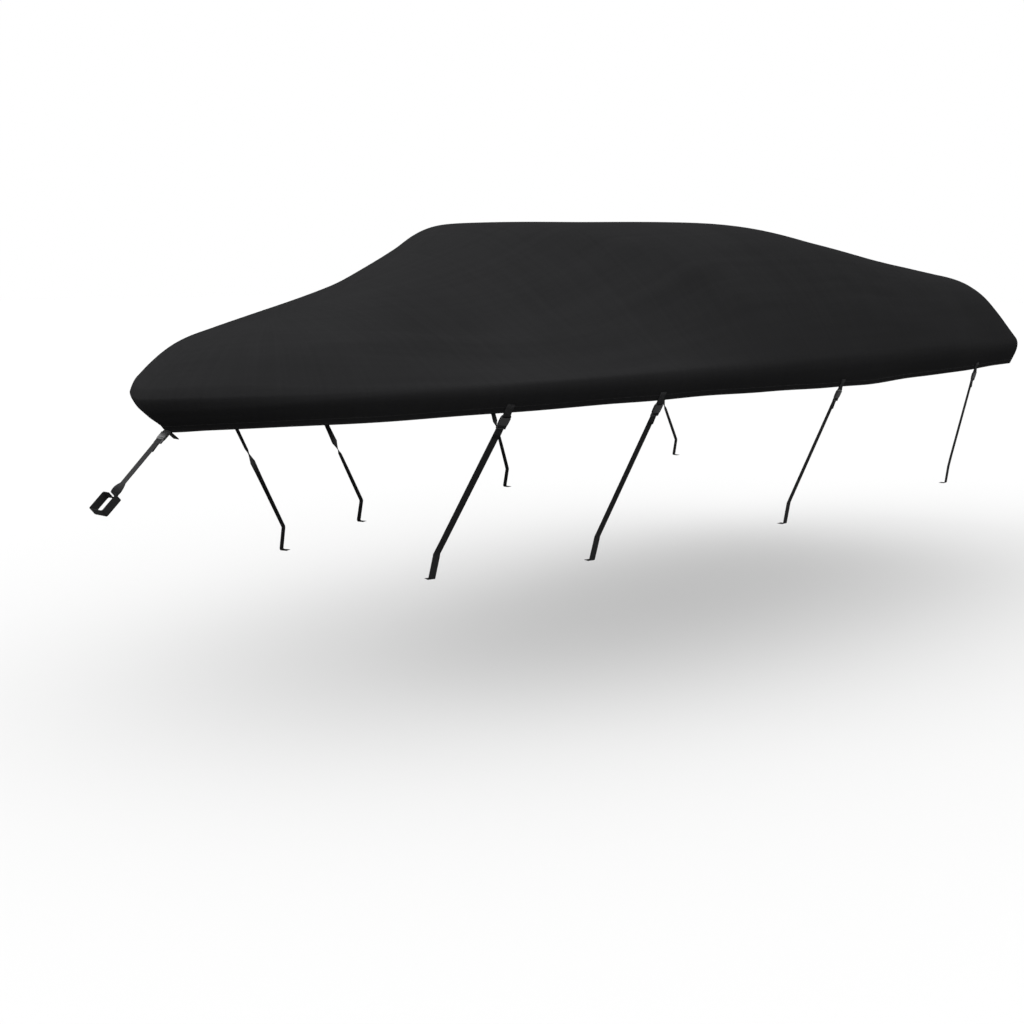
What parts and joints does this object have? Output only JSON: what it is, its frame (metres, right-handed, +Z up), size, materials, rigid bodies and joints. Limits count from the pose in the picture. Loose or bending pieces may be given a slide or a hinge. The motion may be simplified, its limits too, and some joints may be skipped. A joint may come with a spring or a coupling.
{
  "type": "boat cover",
  "caption": "Fitted black cover for an open motor boat, stretched into a raised roof and a bow, with a tucked skirt, a hem and buckled webbing tie-downs.",
  "frame": {"origin": "on the underside of the cloth at its highest part, on the centre plane, where the windscreen's frame or a support pole bears", "axes": "+X aft along the centre line, from the bow to the stern; +Y to starboard, so the side that the picture shows is -Y; +Z up"},
  "size_m": [5.4961, 2.3111, 1.4277],
  "materials": {
    "cover_polyester": "matte coated woven polyester",
    "tie_webbing": "matte ribbed polypropylene webbing",
    "buckle_plastic": "satin moulded acetal"
  },
  "bodies": {
    "root": {"cover_cloth": "cover_polyester", "tab_port_1": "tie_webbing", "buckle_socket_port_1": "buckle_plastic", "buckle_plug_port_1": "buckle_plastic", "strap_port_1": "tie_webbing", "tab_port_2": "tie_webbing", "buckle_socket_port_2": "buckle_plastic", "buckle_plug_port_2": "buckle_plastic", "strap_port_2": "tie_webbing", "tab_port_3": "tie_webbing", "buckle_socket_port_3": "buckle_plastic", "buckle_plug_port_3": "buckle_plastic", "strap_port_3": "tie_webbing", "tab_port_4": "tie_webbing", "buckle_socket_port_4": "buckle_plastic", "buckle_plug_port_4": "buckle_plastic", "strap_port_4": "tie_webbing", "tab_starboard_1": "tie_webbing", "buckle_socket_starboard_1": "buckle_plastic", "buckle_plug_starboard_1": "buckle_plastic", "strap_starboard_1": "tie_webbing", "tab_starboard_2": "tie_webbing", "buckle_socket_starboard_2": "buckle_plastic", "buckle_plug_starboard_2": "buckle_plastic", "strap_starboard_2": "tie_webbing", "tab_starboard_3": "tie_webbing", "buckle_socket_starboard_3": "buckle_plastic", "buckle_plug_starboard_3": "buckle_plastic", "strap_starboard_3": "tie_webbing", "tab_starboard_4": "tie_webbing", "buckle_socket_starboard_4": "buckle_plastic", "buckle_plug_starboard_4": "buckle_plastic", "strap_starboard_4": "tie_webbing", "tab_bow": "tie_webbing", "buckle_socket_bow": "buckle_plastic", "buckle_plug_bow": "buckle_plastic", "strap_bow": "tie_webbing"}
  },
  "joints": []
}
